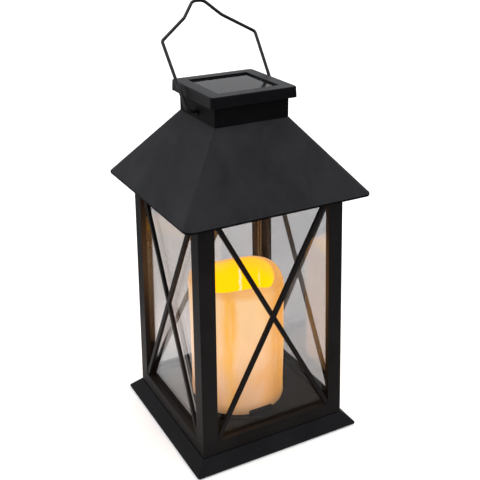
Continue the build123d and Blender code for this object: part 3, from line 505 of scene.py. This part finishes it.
def candle_outline(outer, bottom, rim, well_floor):
    """Radius and height round the candle's shell: foot, wall, rim, well and back underneath."""
    well_radius, crest_radius = 0.0287, 0.0303
    well_foot, well_rounding = 0.0277, 0.004
    shoulder = rim - 0.0095  # where the wall turns in to the rim
    rim_rise, rim_drop = 0.0085, 0.003
    crest = shoulder + rim_rise
    lamp_hole = 0.00285
    floor_thickness = 0.0018
    foot_inset = 0.0035
    wall_foot = bottom + 0.002
    points = [(outer - foot_inset, bottom + 0.0004), (outer - 0.0012, bottom)]
    points.append((outer - 0.0003, bottom + 0.0008))
    wall_steps, shoulder_steps, crest_steps, well_steps, corner_steps, floor_steps = 40, 12, 8, 10, 6, 8
    for i in range(wall_steps + 1):
        points.append((outer, wall_foot + (shoulder - wall_foot) * i / wall_steps))
    for i in range(1, shoulder_steps + 1):
        turn = pi / 2 * i / shoulder_steps
        radius = crest_radius + (outer - crest_radius) * cos(turn) ** 0.85
        points.append((radius, shoulder + rim_rise * sin(turn) ** 0.8))
    for i in range(1, crest_steps + 1):
        turn = pi / 2 * i / crest_steps
        radius = crest_radius - (crest_radius - well_radius) * sin(turn)
        points.append((radius, crest - rim_drop * (1 - cos(turn))))
    for i in range(1, well_steps + 1):
        drop = i / well_steps
        depth = crest - rim_drop - well_rounding - well_floor
        points.append((well_radius - 0.001 * drop, crest - rim_drop - depth * drop))
    for i in range(1, corner_steps + 1):
        turn = pi / 2 * i / corner_steps
        radius = well_foot - well_rounding * (1 - cos(turn))
        points.append((radius, well_floor + well_rounding * (1 - sin(turn))))
    for i in range(1, floor_steps + 1):
        part = i / floor_steps
        points.append(((well_foot - well_rounding) * (1 - part) + lamp_hole * part, well_floor))
    for radius in (lamp_hole, 0.024, outer - foot_inset):
        points.append((radius, well_floor - floor_thickness))
    return points


def make_candle():
    """The candle as one closed shell: upright wavy wall, soft uneven rim and deep melted well."""
    low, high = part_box("candle_shell")
    bottom, rim = low.z, high.z
    well_floor = rim - 0.0351
    around = 192
    wavy_from, wavy_over = rim - 0.045, 0.038  # the rim's waves fade in over this height
    mesh = bpy.data.meshes.new("candle")
    work = bmesh.new()
    rings = []
    for radius, height in candle_outline(high.x, bottom, rim, well_floor):
        share = max(0.0, min(1.0, (height - wavy_from) / wavy_over))
        share = share * share * (3 - 2 * share)
        if height <= well_floor + 0.003:
            share = 0.0
        fade = min(1.0, max(0.0, (height - bottom) / 0.01))
        ring = []
        for step in range(around):
            angle = 2 * pi * step / around
            reach = radius
            if radius > 0.02:
                broad = Vector((cos(angle) * 1.3, sin(angle) * 1.3, height * 22))
                small = Vector((cos(angle) * 3.1, sin(angle) * 3.1, height * 60 + 9))
                reach += (noise.noise(broad) * 0.0005 + noise.noise(small) * 0.0002) * fade
            z = height + rim_lift(angle) * share
            ring.append(work.verts.new((reach * cos(angle), reach * sin(angle), z)))
        rings.append(ring)
    for one, two in zip(rings, rings[1:] + rings[:1]):
        for step in range(around):
            after = (step + 1) % around
            work.faces.new((one[step], one[after], two[after], two[step]))
    bmesh.ops.recalc_face_normals(work, faces=work.faces)
    work.to_mesh(mesh)
    work.free()
    for polygon in mesh.polygons:
        polygon.use_smooth = True
    return new_object("candle", mesh, candle_wax(bottom, rim), "candle_shell")


# ---------------------------------------------------------------- assembly
frame_plastic = moulded_plastic("frame_plastic", (0.0076, 0.0067, 0.0066), (0.0122, 0.011, 0.0108),
                                roughness=0.46, specular=0.09)
base_plastic = moulded_plastic("base_plastic", (0.0062, 0.0062, 0.0072), (0.0104, 0.0104, 0.012),
                               roughness=0.5, specular=0.08)
# painted shade and light: very dark base colours keep the neck under the cap near black as in shade,
# and the faces that look up get a far lighter painted colour as if lit from above
roof_plastic = moulded_plastic("roof_plastic", (0.0022, 0.0022, 0.0028), (0.0042, 0.0042, 0.005),
                               roughness=0.48, specular=0.07, wear=0.3,
                               lit_top_and_dust=(0.019, 0.019, 0.0208))
cap_plastic = moulded_plastic("cap_plastic", (0.0024, 0.0024, 0.0032), (0.0046, 0.0046, 0.006),
                              roughness=0.45, specular=0.21)

for name in ("front_frame", "right_frame", "rear_frame", "left_frame"):
    softened(name, 0.00035, frame_plastic)
softened("plinth", 0.0004, base_plastic)
softened("roof_shell", 0.0003, roof_plastic)
softened("solar_cap", 0.0004, cap_plastic)
softened("base_cover", 0.0002, base_plastic, segments=1)
softened("battery_door", 0.0002, base_plastic, segments=1, body="door")
finish_node("ceiling_plate", frame_plastic)

pane = clear_pane((0.8, 0.8, 0.804))
for name in ("front_pane", "right_pane", "rear_pane", "left_pane"):
    finish_node(name, pane)

make_candle()
cell_low, cell_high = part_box("solar_cell")
finish_node("solar_cell", solar_silicon(cell_high.x - cell_low.x))
finish_node("panel_resin", clear_resin())
finish_node("bail_handle", coated_wire())

# node: material name, dark and light colour, roughness, then the mottling's scale and the bump
FINISHES = {
    "panel_board": ("panel_board", (0.01, 0.012, 0.014), (0.02, 0.024, 0.028), 0.5),
    "rubber_feet": ("foot_rubber", (0.012, 0.012, 0.012), (0.024, 0.024, 0.023), 0.75, 300.0, 0.5),
    "candle_foot": ("candle_foot", (0.55, 0.5, 0.42), (0.66, 0.61, 0.52), 0.5),
    "led_holder": ("white_plastic", (0.7, 0.69, 0.64), (0.8, 0.79, 0.75), 0.45),
    "battery_cell": ("cell_sleeve", (0.02, 0.12, 0.06), (0.03, 0.17, 0.09), 0.3),
    "circuit_board": ("solder_mask", (0.008, 0.06, 0.02), (0.012, 0.09, 0.03), 0.35),
    "switch_knob": ("switch_knob", (0.3, 0.3, 0.3), (0.4, 0.4, 0.4), 0.5),
    "battery_leads": ("red_lead_pair", (0.3, 0.01, 0.008), (0.42, 0.018, 0.012), 0.4),
    "led_leads": ("white_leads", (0.6, 0.6, 0.57), (0.7, 0.7, 0.68), 0.4),
}
for name, finish in FINISHES.items():
    finish_node(name, soft_finish(*finish))
finish_node("led_lamp", lamp_lens())
component = soft_finish("component", (0.01, 0.01, 0.011), (0.022, 0.022, 0.024), 0.5)
for name in ("board_components", "switch_body"):
    finish_node(name, component)
black_insulation = soft_finish("black_insulation", (0.01, 0.01, 0.01), (0.02, 0.02, 0.02), 0.4)
for name in ("solar_lead_positive", "solar_lead_negative"):
    finish_node(name, black_insulation)
plated = worn_metal("plated_steel", (0.45, 0.44, 0.42), (0.62, 0.61, 0.6), 0.3)
for name in ("positive_contact", "negative_contact", "battery_spring"):
    finish_node(name, plated)
zinc = worn_metal("zinc_screws", (0.28, 0.28, 0.29), (0.45, 0.45, 0.46), 0.38)
for name in [n for n in nodes if n.endswith("_screws")]:
    finish_node(name, zinc)


# ---------------------------------------------------------------- studio
def studio_surface(name, dark, light, scale=3.0, glow=0.0):
    """A matt, faintly mottled studio surface, which may glow a little."""
    s = Shader(name)
    s.wire(Base_Color=s.mix(s.noise(scale), dark, light))
    s.set(Roughness=0.9, Specular_IOR_Level=0.1)
    if glow:
        s.set(Emission_Color=(*WHITE, 1.0), Emission_Strength=glow)
    return s


def stage_piece(name, work, material):
    """Makes a mesh in progress part of the studio."""
    mesh = bpy.data.meshes.new(name)
    work.to_mesh(mesh)
    work.free()
    mesh.materials.append(material)
    piece = bpy.data.objects.new(name, mesh)
    scene.collection.objects.link(piece)
    return piece


def flat_stage(name, half_width, height, material):
    work = bmesh.new()
    bmesh.ops.create_grid(work, x_segments=1, y_segments=1, size=half_width)
    sheet = stage_piece(name, work, material)
    sheet.location.z = height
    return sheet


def add_floor():
    """A plain pale floor that can be looked through from below. In gloss a soft-edged patch of
    table behind and beside the lantern shows in its place, like a table in a dim room."""
    s = studio_surface("studio_floor", (0.82, 0.82, 0.82), (0.84, 0.84, 0.84), glow=0.25)
    backfacing = s.add("ShaderNodeNewGeometry").outputs["Backfacing"]
    s.show(s.layer(backfacing, s.surface.outputs[0], s.see_through()))
    floor = flat_stage("floor", 30.0, -0.0004, s.material)
    floor.visible_glossy = False

    t = studio_surface("table_top", (0.86, 0.86, 0.86), (0.88, 0.88, 0.88))
    x, y = t.axis("X"), t.axis("Y")
    patch = t.range(t.radius(x, y), 0.3, 0.14, smooth=True)
    behind = t.range(y, -0.1, 0.02, 0.2, 1.0, smooth=True)
    t.wire(Alpha=t.times(patch, behind))
    table = flat_stage("table", 0.32, -0.0002, t.material)
    table.visible_camera = table.visible_diffuse = table.visible_shadow = False


def add_backdrop():
    """A pale wall all round, far off, that only the camera sees: it hides the room's dim side."""
    around, reach, foot, top = 96, 9.0, -0.0003, 16.0
    work = bmesh.new()
    rings = []
    for z in (foot, top):
        angles = [2 * pi * i / around for i in range(around)]
        rings.append([work.verts.new((reach * cos(a), reach * sin(a), z)) for a in angles])
    for i in range(around):
        after = (i + 1) % around
        work.faces.new((rings[0][i], rings[1][i], rings[1][after], rings[0][after]))
    s = studio_surface("backdrop", (0.86, 0.86, 0.86), (0.88, 0.88, 0.88), scale=0.4, glow=0.25)
    wall = stage_piece("backdrop", work, s.material)
    wall.visible_glossy = wall.visible_diffuse = wall.visible_shadow = False


def add_world():
    """A bright wall behind and a soft ceiling; in front of the lantern and low down it is dim."""
    world = bpy.data.worlds.new("studio")
    scene.world = world
    world.use_nodes = True
    tree = world.node_tree
    background = tree.nodes["Background"]
    place = tree.nodes.new("ShaderNodeTexCoord")
    split = tree.nodes.new("ShaderNodeSeparateXYZ")
    tree.links.new(place.outputs["Generated"], split.inputs[0])

    def rise(axis, start, end, low, high):
        """Light that changes from low to high as a direction's axis goes from start to end."""
        node = tree.nodes.new("ShaderNodeMapRange")
        node.interpolation_type = "SMOOTHSTEP"
        for key, value in (("From Min", start), ("From Max", end), ("To Min", low), ("To Max", high)):
            node.inputs[key].default_value = value
        tree.links.new(split.outputs[axis], node.inputs["Value"])
        return node.outputs["Result"]

    def combine(operation, a, b):
        node = tree.nodes.new("ShaderNodeMath")
        node.operation = operation
        tree.links.new(a, node.inputs[0])
        tree.links.new(b, node.inputs[1])
        return node.outputs[0]

    walls = rise("Y", -0.2, 0.9, 0.07, 0.85)
    ceiling = rise("Z", 0.3, 0.85, 0.0, 0.62)
    dim_low = rise("Z", -0.35, 0.1, 0.42, 1.0)
    strength = combine("MULTIPLY", combine("ADD", walls, ceiling), dim_low)
    tree.links.new(strength, background.inputs["Strength"])
    background.inputs["Color"].default_value = (0.97, 0.98, 1.0, 1.0)


def add_lamp(name, light, direction):
    """A lamp that shines in a direction and stays out of the reflections."""
    lamp = bpy.data.objects.new(name, light)
    lamp.rotation_euler = direction.to_track_quat("-Z", "Y").to_euler()
    lamp.visible_glossy = False
    scene.collection.objects.link(lamp)
    return lamp


def add_skylight():
    """A very soft light from above that fills the floor."""
    light = bpy.data.lights.new("skylight", "SUN")
    light.energy = 2.5
    light.angle = radians(100)
    add_lamp("skylight", light, Vector((-0.25, 0.5, -1.0)))


def add_candle_glow():
    """The warm light the candle throws inside the posts, as four strips round it facing outward."""
    low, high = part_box("candle_shell")
    strip_width, strip_height, clearance = 0.03, 0.065, 0.001
    middle = Vector((0, 0, (low.z + high.z) / 2 + 0.055))
    for quarter in range(4):
        angle = pi / 2 * quarter + pi / 4
        out = Vector((cos(angle), sin(angle), 0.0))
        light = bpy.data.lights.new("candle_glow", "AREA")
        light.shape = "RECTANGLE"
        light.size, light.size_y = strip_width, strip_height
        light.energy = 0.26
        light.color = (1.0, 0.47, 0.17)
        lamp = add_lamp("candle_glow", light, out)
        lamp.location = out * (high.x + clearance) + middle
        lamp.visible_camera = False


def add_camera():
    """The view: a little above, turned to the left of the front, with a slight roll."""
    azimuth, elevation, roll = radians(-27.8), radians(24.15), radians(-0.79)
    target = Vector((0.0039, 0.0, 0.1503))
    distance = 0.6205
    level = cos(elevation)
    back = Vector((sin(azimuth) * level, -cos(azimuth) * level, sin(elevation)))
    right = Vector((cos(azimuth), sin(azimuth), 0.0))
    up = back.cross(right)
    right, up = right * cos(roll) + up * sin(roll), up * cos(roll) - right * sin(roll)
    turned = Matrix((right, up, back)).transposed().to_4x4()
    data = bpy.data.cameras.new("camera")
    data.sensor_width = 36.0
    data.lens = 60.72
    data.clip_start, data.clip_end = 0.01, 50.0
    camera = bpy.data.objects.new("camera", data)
    camera.matrix_world = Matrix.Translation(target + back * distance) @ turned
    scene.collection.objects.link(camera)
    scene.camera = camera


add_floor()
add_backdrop()
add_world()
add_skylight()
add_candle_glow()
add_camera()
